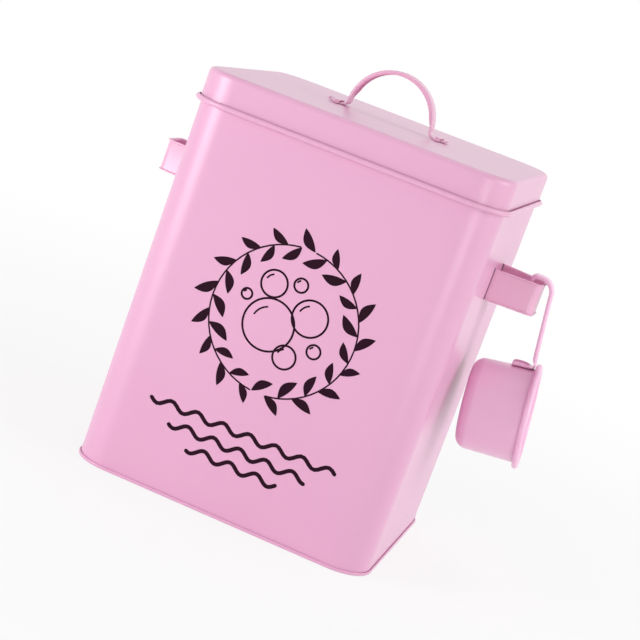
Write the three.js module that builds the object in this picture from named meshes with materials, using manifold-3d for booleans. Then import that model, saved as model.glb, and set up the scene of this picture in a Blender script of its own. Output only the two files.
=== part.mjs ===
// Storage tin for laundry powder: a rounded-square sheet tin with a lift-off lid, a strap handle at
// each side, an arched strap handle on the lid, and a round scoop hung on the right side handle.
// Millimetres, +Z up. The origin is the centre of the flat underside, the front faces -Y.
import * as THREE from 'three';
import { mergeVertices } from 'three/addons/utils/BufferGeometryUtils.js';
import Module from 'manifold-3d';

// Sheet and fits
const SHEET = 0.5;            // body, base and lid sheet
const GAP = 0.3;              // clearance where two pieces touch
const CORNER_STEPS = 7;       // faces round each corner of the tin

// Tin body
const TIN_WIDTH = 200;        // outside, along X
const TIN_DEPTH = 186;        // outside, along Y
const CORNER_RADIUS = 23;     // outside, in plan
const LID_TOP = 259;          // height of the closed tin
const RIM_CURL_RADIUS = 1.6;  // curled upper edge of the wall
const SEAM_WIDTH = 5;         // lock seam at the back
const SEAM_GROOVE = 0.8;      // groove that the seam shows outside
const SEAM_BED = 0.65;        // folded sheet behind the wall
const SEAM_END = 1;           // plain wall above and below the groove
const FLANGE_REACH = 0.5;     // the wall's lower edge, turned outwards

// Lid
const LID_FIT = 0.6;          // play between skirt and wall
const LID_SKIRT = 20;         // lid top to the middle of the bead
const LID_SHOULDER = 3.6;     // outside radius of the lid's top edge
const LID_BEAD = 1.7;         // outside radius of the skirt's curled edge

// Side handles
const SIDE_STRAP_HEIGHT = 21; // along Z
const SIDE_STRAP_SHEET = 1;
const SIDE_STRAP_Z = 188.5;   // middle of the strap
const SIDE_REACH = 31;        // how far the loop stands out from the wall
const SIDE_ROOT_HALF = 18;    // half the distance between the slots
const SIDE_END_HALF = 13;     // half the width of the loop's outer end
const SIDE_BEND = 5;          // outside bend radius at the outer end
const SIDE_STUB = 2;          // straight stretch outside the slot
const SIDE_TONGUE = 9;        // tongue folded flat behind each slot
const SIDE_LIP = 1;           // edges of the strap turned outwards
const TONGUE_BEND = 1.4;      // outside bend radius where the tongue folds
const SLOT_END = 3;           // height of the slot's wider ends
const SLOT_END_WIDTH = 2.6;

// Lid handle
const LID_STRAP_WIDTH = 12;
const LID_STRAP_SHEET = 1.1;
const LID_STRAP_LIP = 1.7;    // edges turned towards the hand
const LID_ARCH_RADIUS = 29;   // outside radius of the arch
const LID_ARCH_RISE = 4;      // centre of the arch above the lid
const LID_FOOT_BEND = 3;      // bend radius at the foot
const LID_FOOT_LENGTH = 6;    // flat foot beyond the bend
const LID_TIP_RADIUS = 3.5;   // upturned tip of the foot
const LID_TIP_TURN = 60;      // degrees
const STAPLE_WIDTH = 4;       // along X
const STAPLE_EAR = 4;         // ear welded on each side of the foot
const STAPLE_SHEET = 0.9;

// Scoop
const CUP_RADIUS = 31;        // outside, at the mouth
const CUP_BASE_RADIUS = 30;
const CUP_DEPTH = 43.5;       // mouth plane to closed end
const CUP_CORNER = 8;         // outside radius at the closed end
const CUP_SHEET = 0.7;
const CUP_BEAD = 2.1;         // outside radius of the rolled rim
const CUP_STEPS = 40;
const CUP_PITCH = 7.35;       // degrees, mouth tipped upwards as it hangs
const CUP_YAW = 3.4;          // degrees, turned on its hook
const ARM_WIDTH = 11;
const ARM_SHEET = 1.1;
const ARM_LIP = 1.7;          // edges turned towards the tin
const ARM_TAB = 15;           // along the cup
const ARM_BEND = 1.6;         // bend radius between tab and arm
const ARM_RISE = 58;          // cup wall to the top of the hook
const HOOK_CLEAR = 6.4;       // loop to the arm's outer face
const HOOK_LENGTH = 16;       // arm to the turned-down tip
const HOOK_RADIUS = 10;
const HOOK_TIP_RADIUS = 4;
const HOOK_TIP = 11;          // top of the hook to the end of its tip

const paint = (hex, roughness) => new THREE.MeshStandardMaterial({
  color: hex,
  roughness,
  metalness: 0.1,
});

function mesh(name, geometry, hex, roughness = 0.35) {
  const made = new THREE.Mesh(geometry, paint(hex, roughness));
  made.name = name;
  return made;
}

// Joins rings of points into one closed body. Rings that do not close on themselves get flat ends,
// cut into triangles from the ring's own flat outline.
function loft(rings, outline = null) {
  const count = rings[0].length;
  const positions = rings.flatMap((ring) => ring.flatMap((point) => point.toArray()));
  const index = [];
  const last = outline ? rings.length - 1 : rings.length;
  for (let i = 0; i < last; i += 1) {
    const a = i * count;
    const b = ((i + 1) % rings.length) * count;
    for (let j = 0; j < count; j += 1) {
      const k = (j + 1) % count;
      index.push(a + j, a + k, b + k, a + j, b + k, b + j);
    }
  }
  if (outline) {
    const end = (rings.length - 1) * count;
    const clockwise = THREE.ShapeUtils.isClockWise(outline);
    for (const triangle of THREE.ShapeUtils.triangulateShape(outline, [])) {
      const [p, q, r] = clockwise ? triangle.reverse() : triangle;
      index.push(q, p, r, end + p, end + q, end + r);
    }
  }
  const geometry = new THREE.BufferGeometry();
  geometry.setAttribute('position', new THREE.Float32BufferAttribute(positions, 3));
  geometry.setIndex(index);
  return faceOut(geometry);
}

// Signed volume decides which way the faces look.
function faceOut(geometry) {
  const at = geometry.attributes.position;
  const index = geometry.index.array;
  const [a, b, c] = [new THREE.Vector3(), new THREE.Vector3(), new THREE.Vector3()];
  let volume = 0;
  for (let i = 0; i < index.length; i += 3) {
    a.fromBufferAttribute(at, index[i]);
    b.fromBufferAttribute(at, index[i + 1]);
    c.fromBufferAttribute(at, index[i + 2]);
    volume += a.dot(b.cross(c));
  }
  if (volume < 0) index.reverse();
  geometry.computeVertexNormals();
  return geometry;
}

// The tin's plan, grown outwards by an offset.
function plan(offset) {
  const x = TIN_WIDTH / 2 - CORNER_RADIUS;
  const y = TIN_DEPTH / 2 - CORNER_RADIUS;
  const points = [];
  [[x, y], [-x, y], [-x, -y], [x, -y]].forEach(([cx, cy], quarter) => {
    for (let i = 0; i <= CORNER_STEPS; i += 1) {
      const turn = (Math.PI / 2) * (quarter + i / CORNER_STEPS);
      const r = CORNER_RADIUS + offset;
      points.push(new THREE.Vector2(cx + r * Math.cos(turn), cy + r * Math.sin(turn)));
    }
  });
  return points;
}

// A sheet section, as [offset from the wall's outside, height], run round the tin.
const ringAt = ([offset, z]) => plan(offset).map((p) => new THREE.Vector3(p.x, p.y, z));
const sheetRing = (section) => loft(section.map(ringAt));
const sheetPan = (section) => loft(section.map(ringAt), plan(section[0][0]));

// Points on an arc, in degrees.
function arc(cx, cy, radius, from, to, steps) {
  return Array.from({ length: steps + 1 }, (_, i) => {
    const turn = THREE.MathUtils.degToRad(from + ((to - from) * i) / steps);
    return [cx + radius * Math.cos(turn), cy + radius * Math.sin(turn)];
  });
}

// A closed section that follows an arc with the sheet's thickness, from its outer to its inner side.
const arcSheet = (cx, cy, radius, sheet, from, to, steps) => [
  arc(cx, cy, radius, from, to, steps),
  arc(cx, cy, radius - sheet, to, from, steps),
];

// Body wall: flange, wall, curled rim and the lock seam at the back
const lidOut = LID_FIT + SHEET;
const shoulderOffset = lidOut - LID_SHOULDER;
const shoulderZ = LID_TOP - LID_SHOULDER;
// The rim curl seats in the lid's shoulder, one clearance away from it.
const rimReach = LID_SHOULDER - SHEET - GAP - RIM_CURL_RADIUS;
const rimSide = -RIM_CURL_RADIUS - shoulderOffset;
const rimZ = shoulderZ + Math.sqrt(rimReach ** 2 - rimSide ** 2);
const flangeLow = SHEET + GAP;
const slotLow = SIDE_STRAP_Z - SIDE_STRAP_HEIGHT / 2 - GAP;
const slotHigh = SIDE_STRAP_Z + SIDE_STRAP_HEIGHT / 2 + GAP;

const [rimOuter, rimInner] = arcSheet(-RIM_CURL_RADIUS, rimZ, RIM_CURL_RADIUS, SHEET, 0, 290, 9);
const wallSection = [
  [-SHEET, flangeLow],
  [FLANGE_REACH, flangeLow],
  [FLANGE_REACH, flangeLow + SHEET],
  [0, flangeLow + SHEET],
  ...rimOuter,
  ...rimInner,
];

const wasm = await Module();
wasm.setup();

function solid(geometry) {
  const bare = geometry.clone();
  bare.deleteAttribute('normal');
  bare.deleteAttribute('uv');
  const merged = mergeVertices(bare, 1e-4);
  return new wasm.Manifold(new wasm.Mesh({
    numProp: 3,
    vertProperties: new Float32Array(merged.attributes.position.array),
    triVerts: new Uint32Array(merged.index.array),
  }));
}

function surface(manifold) {
  const { vertProperties, triVerts } = manifold.getMesh();
  const geometry = new THREE.BufferGeometry();
  geometry.setAttribute('position', new THREE.Float32BufferAttribute(vertProperties, 3));
  geometry.setIndex(Array.from(triVerts));
  geometry.computeVertexNormals();
  return geometry;
}

function block(width, depth, height, x, y, z) {
  return solid(new THREE.BoxGeometry(width, depth, height).translate(x, y, z));
}

function wallBody() {
  const top = rimZ - RIM_CURL_RADIUS;
  const low = flangeLow + SHEET;
  const middle = (top + low) / 2;
  const bedOut = TIN_DEPTH / 2 - SHEET / 2;
  const bedIn = TIN_DEPTH / 2 - SHEET - SEAM_BED;
  const grooveHeight = top - low - 2 * SEAM_END;
  let wall = solid(sheetRing(wallSection));
  wall = wall.add(block(SEAM_WIDTH, bedOut - bedIn, top - low, 0, (bedOut + bedIn) / 2, middle));
  wall = wall.subtract(block(SEAM_GROOVE, SHEET, grooveHeight, SEAM_WIDTH / 2, TIN_DEPTH / 2, middle));
  for (const sx of [1, -1]) {
    for (const sy of [1, -1]) {
      const slot = (width, low, high) => block(
        4 * SHEET,
        width,
        high - low,
        sx * TIN_WIDTH / 2,
        sy * SIDE_ROOT_HALF,
        (high + low) / 2,
      );
      wall = wall.subtract(slot(SIDE_STRAP_SHEET + 2 * GAP, slotLow, slotHigh));
      wall = wall.subtract(slot(SLOT_END_WIDTH, slotLow, slotLow + SLOT_END));
      wall = wall.subtract(slot(SLOT_END_WIDTH, slotHigh - SLOT_END, slotHigh));
    }
  }
  return surface(wall);
}

// Base pan: flat underside, its rim folded up and over the wall's flange
const panOut = FLANGE_REACH + GAP + SHEET;
const panTop = flangeLow + SHEET + GAP + SHEET;
const panCorner = SHEET * 1.6;
const panSection = [
  ...arc(panOut - panCorner, panCorner, panCorner, -90, 0, 3),
  ...arc(panOut - SHEET, panTop - SHEET, SHEET, 0, 90, 2),
  [GAP, panTop],
  [GAP, panTop - SHEET],
  [panOut - SHEET, panTop - SHEET],
  [panOut - SHEET, SHEET],
];

// Lid: flat top, rounded shoulder, skirt and an open curl that ends just clear of the skirt
const beadZ = LID_TOP - LID_SKIRT;
const beadOffset = LID_FIT + LID_BEAD;
const [beadOuter, beadInner] = arcSheet(beadOffset, beadZ, LID_BEAD, SHEET, 180, 450, 10);
const lidSection = [
  ...arc(shoulderOffset, shoulderZ, LID_SHOULDER, 90, 0, 5),
  [lidOut, beadZ],
  ...beadInner.reverse(),
  ...beadOuter.reverse(),
  ...arc(shoulderOffset, shoulderZ, LID_SHOULDER - SHEET, 0, 90, 5),
];

// Rounds the corners of a flat path. Each point is [u, v, radius]; a corner takes `steps` faces.
function rounded(points, steps = 4) {
  return points.flatMap(([u, v, radius = 0], i) => {
    const here = new THREE.Vector2(u, v);
    if (!radius) return [[u, v]];
    const back = new THREE.Vector2(...points[i - 1]).sub(here).normalize();
    const on = new THREE.Vector2(...points[i + 1]).sub(here).normalize();
    const halfAngle = Math.acos(THREE.MathUtils.clamp(back.dot(on), -1, 1)) / 2;
    const centre = back.clone().add(on).normalize().multiplyScalar(radius / Math.sin(halfAngle)).add(here);
    const reach = radius / Math.tan(halfAngle);
    const hand = -Math.sign(back.cross(on));
    const start = back.multiplyScalar(reach).add(here).sub(centre);
    const sweep = Math.PI - 2 * halfAngle;
    return Array.from({ length: steps + 1 }, (_, k) => {
      const p = start.clone().rotateAround(new THREE.Vector2(), (hand * sweep * k) / steps).add(centre);
      return [p.x, p.y];
    });
  });
}

// A strap's section as [rise, across]: flat, or a shallow channel whose two edges are turned up by
// `lip`. The smooth face is at rise 0.
function strapSection(width, sheet, lip) {
  const half = width / 2;
  if (!lip) return [[0, -half], [0, half], [sheet, half], [sheet, -half]];
  const soft = sheet * 0.6;
  return [
    [0, -half + soft],
    [0, half - soft],
    [soft * 0.3, half - soft * 0.3],
    [soft, half],
    [sheet + lip, half],
    [sheet + lip, half - sheet],
    [sheet, half - sheet - soft],
    [sheet, -half + sheet + soft],
    [sheet + lip, -half + sheet],
    [sheet + lip, -half],
    [soft, -half],
    [soft * 0.3, -half + soft * 0.3],
  ];
}

// Runs a strap along a flat path of its smooth face. The sheet lies on the path's left.
// `lay(u, v, across)` puts a point in space and `turned(u, v)` says where the edges stand up.
function strap(path, { width, sheet, lip = 0 }, lay, turned = () => true) {
  const section = strapSection(width, sheet, lip);
  const rings = path.map(([u, v], i) => {
    const here = new THREE.Vector2(u, v);
    const before = new THREE.Vector2(...path[Math.max(i - 1, 0)]);
    const after = new THREE.Vector2(...path[Math.min(i + 1, path.length - 1)]);
    const back = (i > 0 ? here.clone().sub(before) : after.clone().sub(here)).normalize();
    const on = (i < path.length - 1 ? after.clone().sub(here) : here.clone().sub(before)).normalize();
    const along = back.add(on).normalize();
    const mitre = along.dot(on);
    const edge = turned(u, v) ? 1 : 0;
    return section.map(([rise, across]) => {
      const height = (Math.min(rise, sheet) + Math.max(rise - sheet, 0) * edge) / mitre;
      return lay(u - along.y * height, v + along.x * height, across);
    });
  });
  return loft(rings, section.map(([rise, across]) => new THREE.Vector2(rise, across)));
}

// Side handle: tongue behind the wall, through the slot, round the loop and back
function sideHandle(side) {
  const wall = TIN_WIDTH / 2;
  const bed = wall - SHEET - GAP - SIDE_STRAP_SHEET;
  const root = SIDE_ROOT_HALF - SIDE_STRAP_SHEET / 2;
  const end = wall + SIDE_REACH - SIDE_STRAP_SHEET;
  const corner = SIDE_END_HALF - SIDE_STRAP_SHEET;
  const half = [
    [bed, root + SIDE_STRAP_SHEET + SIDE_TONGUE],
    [bed, root, TONGUE_BEND],
    [wall + SIDE_STUB, root],
    [wall + 2 * SIDE_STUB, THREE.MathUtils.lerp(root, corner, SIDE_STUB / (end - wall - SIDE_STUB))],
    [end, corner, SIDE_BEND - SIDE_STRAP_SHEET],
  ];
  const path = rounded([...half, ...half.map(([x, y, r]) => [x, -y, r]).reverse()], 5);
  return strap(
    path,
    { width: SIDE_STRAP_HEIGHT, sheet: SIDE_STRAP_SHEET, lip: SIDE_LIP },
    (x, y, z) => new THREE.Vector3(side * x, y, SIDE_STRAP_Z + z),
    (x) => x > wall + 1.5 * SIDE_STUB,
  );
}

// Lid handle: an arch whose feet bend outwards, lie flat under the staples and turn up at their tips
const footTop = LID_TOP + GAP + LID_STRAP_SHEET;
const archZ = LID_TOP + LID_ARCH_RISE;
const footZ = footTop + LID_FOOT_BEND;
const footX = Math.sqrt((LID_ARCH_RADIUS + LID_FOOT_BEND) ** 2 - (archZ - footZ) ** 2);

function lidHandle() {
  const lean = THREE.MathUtils.radToDeg(Math.atan2(footZ - archZ, footX));
  const tipX = footX + LID_FOOT_LENGTH;
  const tip = LID_TIP_RADIUS - LID_STRAP_SHEET;
  const half = [
    ...arc(tipX, footTop + tip, tip, LID_TIP_TURN - 90, -90, 4),
    ...arc(footX, footZ, LID_FOOT_BEND, 270, 180 + lean, 4),
    ...arc(0, archZ, LID_ARCH_RADIUS, lean, 90, 12).slice(1),
  ];
  const path = [...half, ...half.slice(0, -1).map(([x, z]) => [-x, z]).reverse()];
  return strap(
    path,
    { width: LID_STRAP_WIDTH, sheet: LID_STRAP_SHEET, lip: LID_STRAP_LIP },
    (x, z, y) => new THREE.Vector3(x, y, z),
    (x, z) => z > footZ + LID_ARCH_RISE / 2,
  );
}

// Staple: welded ears beside the foot and a bridge over it
function staple(side) {
  const seat = LID_TOP + GAP;
  const inside = LID_STRAP_WIDTH / 2 + GAP;
  const under = footTop + GAP;
  const ear = inside + STAPLE_SHEET + STAPLE_EAR;
  const path = [[-ear, seat], [-inside, seat], [-inside, under], [inside, under], [inside, seat], [ear, seat]];
  const x = side * (footX + LID_FOOT_LENGTH / 2);
  return strap(
    path,
    { width: STAPLE_WIDTH, sheet: STAPLE_SHEET },
    (y, z, across) => new THREE.Vector3(x + across, y, z),
  );
}

// Scoop cup: drawn cup with its rim rolled outwards, mouth towards +X
function scoopCup() {
  const inner = CUP_CORNER - CUP_SHEET;
  const bottom = -CUP_DEPTH + CUP_CORNER;
  const [curlOuter, curlInner] = arcSheet(
    CUP_RADIUS - CUP_SHEET + CUP_BEAD,
    -CUP_BEAD,
    CUP_BEAD,
    CUP_SHEET,
    180,
    -100,
    9,
  );
  const profile = [
    [0, -CUP_DEPTH],
    ...arc(CUP_BASE_RADIUS - CUP_CORNER, bottom, CUP_CORNER, -90, 0, 5),
    ...curlInner.reverse(),
    ...curlOuter.reverse(),
    ...arc(CUP_BASE_RADIUS - CUP_CORNER, bottom, inner, 0, -90, 4),
    [0, -CUP_DEPTH + CUP_SHEET],
  ];
  const turned = new THREE.LatheGeometry(profile.map(([r, y]) => new THREE.Vector2(r, y)), CUP_STEPS);
  turned.deleteAttribute('normal');
  turned.deleteAttribute('uv');
  return faceOut(mergeVertices(turned.rotateZ(-Math.PI / 2), 1e-4));
}

// The scoop hangs in the plane Y = 0 of its own group, at the loop's outer face, pitched with its
// mouth up. The bend of the hook rests on the loop's upper outer edge, and the cup hangs from there.
const pitch = THREE.MathUtils.degToRad(CUP_PITCH);
const yaw = THREE.MathUtils.degToRad(CUP_YAW);
const strapTop = SIDE_STRAP_Z + SIDE_STRAP_HEIGHT / 2;
const seatRadius = HOOK_RADIUS - ARM_SHEET - ARM_LIP - GAP - (ARM_WIDTH / 2) * Math.sin(yaw);
const bendX = HOOK_CLEAR - (HOOK_RADIUS * (1 - Math.sin(pitch))) / Math.cos(pitch);
const hookTop = strapTop + HOOK_RADIUS - Math.sqrt(seatRadius ** 2 - (SIDE_LIP - bendX) ** 2);
const armU = -2 * CUP_BEAD - GAP;
// The tab lies along the widest part of the cup's wall beneath it.
const cupEnd = THREE.MathUtils.inverseLerp(-CUP_BEAD, CUP_CORNER - CUP_DEPTH, armU - ARM_TAB);
const tabV = Math.max(CUP_RADIUS, THREE.MathUtils.lerp(CUP_RADIUS, CUP_BASE_RADIUS, cupEnd)) + GAP;
const turnPitch = (u, v) => [
  u * Math.cos(pitch) - v * Math.sin(pitch),
  u * Math.sin(pitch) + v * Math.cos(pitch),
];
const [armX, armZ] = turnPitch(armU, tabV + ARM_RISE);
const cupX = HOOK_CLEAR - armX;
const cupZ = hookTop - armZ;

function place(u, v) {
  const [x, z] = turnPitch(u, v);
  return [cupX + x, cupZ + z];
}

function scoopArm() {
  const low = ARM_BEND + ARM_SHEET;
  const path = rounded([
    place(armU - ARM_TAB, tabV),
    [...place(armU, tabV), low],
    place(armU, tabV + 3 * low),
    [HOOK_CLEAR, hookTop, HOOK_RADIUS],
    [HOOK_CLEAR - HOOK_LENGTH, hookTop, HOOK_TIP_RADIUS],
    [HOOK_CLEAR - HOOK_LENGTH, hookTop - HOOK_TIP],
  ], 6);
  const [, bendTop] = place(armU, tabV + 1.5 * low);
  const [bendStart] = place(armU - 1.5 * low, tabV);
  return strap(
    path,
    { width: ARM_WIDTH, sheet: ARM_SHEET, lip: ARM_LIP },
    (x, z, y) => new THREE.Vector3(x, -y, z),
    (x, z) => z > bendTop || x < bendStart,
  );
}

const tin = new THREE.Group();
tin.add(mesh('body_shell', wallBody(), 0xecbad6, 0.32));
tin.add(mesh('base_pan', sheetPan(panSection), 0xe4b0cc, 0.32));
tin.add(mesh('side_handle_right', sideHandle(1), 0xe8b4d0, 0.3));
tin.add(mesh('side_handle_left', sideHandle(-1), 0xe8b4d0, 0.3));

const cup = new THREE.Group();
cup.position.set(cupX, 0, cupZ);
cup.rotation.y = -pitch;
cup.add(mesh('scoop_cup', scoopCup(), 0xe8b0d0, 0.3));

const scoop = new THREE.Group();
scoop.position.set(TIN_WIDTH / 2 + SIDE_REACH, 0, 0);
scoop.rotation.z = yaw;
scoop.add(cup, mesh('scoop_arm', scoopArm(), 0xe8b8d0, 0.3));
tin.add(scoop);

const lid = new THREE.Group();
lid.add(mesh('lid_shell', sheetPan(lidSection), 0xecbcd6, 0.3));
lid.add(mesh('lid_handle', lidHandle(), 0xe8b8d0, 0.3));
lid.add(mesh('lid_staple_left', staple(-1), 0xe8b8d0, 0.3));
lid.add(mesh('lid_staple_right', staple(1), 0xe8b8d0, 0.3));

export default new THREE.Group().add(tin, lid);
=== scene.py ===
"""Pink enamelled laundry powder tin with a lift-off lid, strap handles and a hook-on scoop.

The sheet-metal pieces are profiles carried along paths: the tin, its base and its lid run a section
round a rounded square, the handles run a strap's section along a bent path, and the cup is turned.
Sizes are in millimetres until a mesh is made, and the frame is the tin's own: +Z up, front at -Y.
"""

import logging
from dataclasses import dataclass, field, replace
from enum import Enum

import bpy
import numpy as np
from bpy.types import ID, Material, Mesh, Node, NodeSocket, NodeTree, Object
from mathutils import Matrix, Vector

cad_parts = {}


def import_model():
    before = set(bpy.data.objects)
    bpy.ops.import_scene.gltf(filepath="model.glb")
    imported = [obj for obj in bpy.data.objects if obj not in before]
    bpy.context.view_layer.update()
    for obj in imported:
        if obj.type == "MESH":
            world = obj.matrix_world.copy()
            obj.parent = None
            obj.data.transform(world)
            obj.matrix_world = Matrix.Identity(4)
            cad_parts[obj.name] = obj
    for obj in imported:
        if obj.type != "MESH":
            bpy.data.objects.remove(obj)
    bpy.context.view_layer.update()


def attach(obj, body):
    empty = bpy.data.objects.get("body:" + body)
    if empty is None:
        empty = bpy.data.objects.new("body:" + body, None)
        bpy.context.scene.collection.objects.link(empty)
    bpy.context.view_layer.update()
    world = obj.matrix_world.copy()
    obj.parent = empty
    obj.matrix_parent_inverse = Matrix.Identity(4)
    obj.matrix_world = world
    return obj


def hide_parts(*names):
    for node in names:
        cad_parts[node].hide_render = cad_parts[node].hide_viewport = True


MM = 0.001  # metres in a millimetre
SHEET_SHARP = 35.0  # degrees above which an edge of a pressed sheet stays sharp
STRAP_SHARP = 50.0  # the same for straps
PRINT_SHARP = 30.0  # the same for the print
ROLL_BEND = 0.9  # radius of the roll at a strap's edges
LEAST_LIP = 0.03  # share of a strap's lip that is left where it lies flat
SLIM = 0.999  # share of a strap's sheet that its outline fills
WHITE = (1.0, 1.0, 1.0, 1.0)
log = logging.getLogger("laundry_tin")

Array = np.ndarray
Stations = tuple[float, ...]
Point = tuple[float, float, float]


class Side(Enum):
    """The side of the tin that a piece stands on."""

    LEFT = -1
    RIGHT = 1


class Slot(Enum):
    """The record's material slots."""

    SHELL = "shell_paint"
    LID = "lid_paint"
    HANDLE = "handle_paint"
    SCOOP = "scoop_paint"


class Keep(Enum):
    """What stays of a piece when a tool shape is laid over it."""

    OUTSIDE = "DIFFERENCE"
    WITHIN = "INTERSECT"


@dataclass
class Sizes:
    """Sizes that several sub-assemblies share, in millimetres."""

    width: float = 200.0
    depth: float = 186.0
    tin_sheet: float = 0.5
    gap: float = 0.3
    lid_top: float = 259.0
    strap_height: float = 21.0
    strap_middle: float = 188.5
    strap_sheet: float = 1.0
    strap_lip: float = 1.0
    strap_reach: float = 31.0
    root_half: float = 18.0


# Curves and sections


def arc(cx: float, cy: float, radius: float, start: float, stop: float, steps: int) -> Array:
    """Points on a circle's arc: the centre plus the radius times (cos, sin) of the turn.

    Args:
        cx: First coordinate of the centre.
        cy: Second coordinate of the centre.
        radius: Radius in millimetres.
        start: First angle in degrees.
        stop: Last angle in degrees.
        steps: Number of equal steps.

    Returns:
        Array of steps + 1 points.
    """
    turn = np.radians(np.linspace(start, stop, steps + 1))
    return np.stack([cx + radius * np.cos(turn), cy + radius * np.sin(turn)], axis=1)


def ease(share: Array) -> Array:
    """Clips a share to 0 to 1 and eases it: three times its square less twice its cube."""
    share = np.clip(share, 0, 1)
    return share * share * (3 - 2 * share)


def rounded_path(corners: list[Point], steps: int) -> Array:
    """A polyline whose corners are replaced by tangent arcs.

    Each arc's centre lies on the corner's bisector at radius / sin(half angle), and it starts and
    ends at radius / tan(half angle) from the corner.

    Args:
        corners: Points as (u, v, radius), with radius 0 where the corner stays sharp.
        steps: Steps on each arc.

    Returns:
        Array of points along the path.
    """
    points = np.array([c[:2] for c in corners], float)
    pieces = []
    for i, (_, _, radius) in enumerate(corners):
        if not radius:
            pieces.append(points[i : i + 1])
            continue
        back = points[i - 1] - points[i]
        on = points[i + 1] - points[i]
        back, on = back / np.linalg.norm(back), on / np.linalg.norm(on)
        half = np.arccos(np.clip(back @ on, -1, 1)) / 2
        bisector = (back + on) / np.linalg.norm(back + on)
        centre = points[i] + bisector * radius / np.sin(half)
        first = points[i] + back * radius / np.tan(half) - centre
        hand = -np.sign(back[0] * on[1] - back[1] * on[0])
        turn = hand * np.linspace(0, np.pi - 2 * half, steps + 1)
        c, s = np.cos(turn), np.sin(turn)
        pieces.append(centre + np.stack([first[0] * c - first[1] * s, first[0] * s + first[1] * c], 1))
    return np.concatenate(pieces)


def sheet_outline(line: Array, sheet: float, ends: int = 3) -> Array:
    """The closed outline of a sheet of one thickness that follows a line, with round edges.

    Each point is moved by half the thickness along the line's normal, to one side on the way out
    and to the other on the way back, and a half circle closes each end.

    Args:
        line: Points on the middle of the sheet.
        sheet: Thickness in millimetres.
        ends: Steps on each rounded edge.

    Returns:
        Array of outline points, in order.
    """
    step = np.gradient(line, axis=0)
    step /= np.linalg.norm(step, axis=1, keepdims=True)
    normal = np.stack([-step[:, 1], step[:, 0]], 1)
    half = sheet / 2
    turn = np.linspace(np.pi / 2, -np.pi / 2, ends + 1)[1:-1]

    def cap(centre: Array, way: Array) -> Array:
        """Inner points of the half circle that closes an end."""
        side = np.array([-way[1], way[0]])
        return centre + half * (np.outer(np.cos(turn), way) + np.outer(np.sin(turn), side))

    out = line + normal * half
    home = (line - normal * half)[::-1]
    return np.concatenate([out, cap(line[-1], step[-1]), home, cap(line[0], -step[0])])


def strap_section(width: float, sheet: float, lip: float) -> Array:
    """A strap's section as (rise, across), with both edges rolled up by the lip.

    The sheet's middle line is a flat with a quarter circle and a straight lip at each end.

    Args:
        width: Full width of the strap.
        sheet: Thickness of the sheet.
        lip: Height of the rolled edges above the sheet.

    Returns:
        Array of outline points.
    """
    mid, half = sheet / 2, width / 2 - sheet / 2
    if not lip:
        line = np.stack([np.full(5, mid), np.linspace(-half, half, 5)], 1)
        return sheet_outline(line, sheet * SLIM)
    top = sheet + lip - mid
    roll = arc(mid + ROLL_BEND, half - ROLL_BEND, ROLL_BEND, 180, 90, 5)
    right = np.concatenate([roll, [[top, half]]])
    left = right[::-1] * [1, -1]
    return sheet_outline(np.concatenate([left, [[mid, 0.0]], right]), sheet * SLIM)


def loft(rings: Array, closed: bool = False) -> tuple[Array, list]:
    """Joins rings of points with quads into one surface.

    Args:
        rings: Array (ring, point, 3).
        closed: Whether the last ring joins the first. Otherwise both are filled.

    Returns:
        Points and faces.
    """
    count, size = rings.shape[:2]
    index = np.arange(count * size).reshape(count, size)
    after = np.roll(index, -1, axis=0) if closed else index[1:]
    here = index if closed else index[:-1]
    quads = np.stack([here, np.roll(here, -1, 1), np.roll(after, -1, 1), after], -1).reshape(-1, 4)
    faces = quads.tolist()
    if not closed:
        faces += [index[0][::-1].tolist(), index[-1].tolist()]
    return rings.reshape(-1, 3), faces


def bend_strap(path: Array, width: float, sheet: float, lip: float, stand: Array) -> tuple[Array, ...]:
    """Carries a strap's section along the path of its smooth face.

    A section point stands off the path by its rise along the mean of the two neighbouring normals,
    lengthened by one over the cosine of half the turn, so the sheet keeps its thickness in a bend.
    Where a lip lies flat a small share of it is left, so that no two faces share a place.

    Args:
        path: Points (u, v) of the smooth face.
        width: Full width of the strap.
        sheet: Thickness of the sheet.
        lip: Height of the rolled edges above the sheet.
        stand: How far the lips stand up at each path point, 0 to 1.

    Returns:
        Arrays (path point, section point) of u, of v and of the place across the strap.
    """
    rise, across = strap_section(width, sheet, lip).T
    step = np.diff(path, axis=0)
    step /= np.linalg.norm(step, axis=1, keepdims=True)
    back = np.concatenate([step[:1], step])
    on = np.concatenate([step, step[-1:]])
    along = back + on
    along /= np.linalg.norm(along, axis=1, keepdims=True)
    mitre = (along * on).sum(1)
    low, high = np.minimum(rise, sheet), np.maximum(rise - sheet, 0)
    height = (low[None] + high[None] * np.maximum(stand, LEAST_LIP)[:, None]) / mitre[:, None]
    u = path[:, :1] - along[:, 1:] * height
    v = path[:, 1:] + along[:, :1] * height
    return u, v, np.broadcast_to(across, u.shape)


# Meshes and pieces


def add_object(name: str, data: ID) -> Object:
    """Makes an object at the origin and links it to the scene."""
    made = bpy.data.objects.new(name, data)
    bpy.context.scene.collection.objects.link(made)
    return made


def shade_smooth(mesh: Mesh, sharp: float) -> None:
    """Shades a mesh smooth, but for edges that turn more than the given degrees."""
    mesh.polygons.foreach_set("use_smooth", np.ones(len(mesh.polygons), bool))
    mesh.set_sharp_from_angle(angle=np.radians(sharp))


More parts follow.
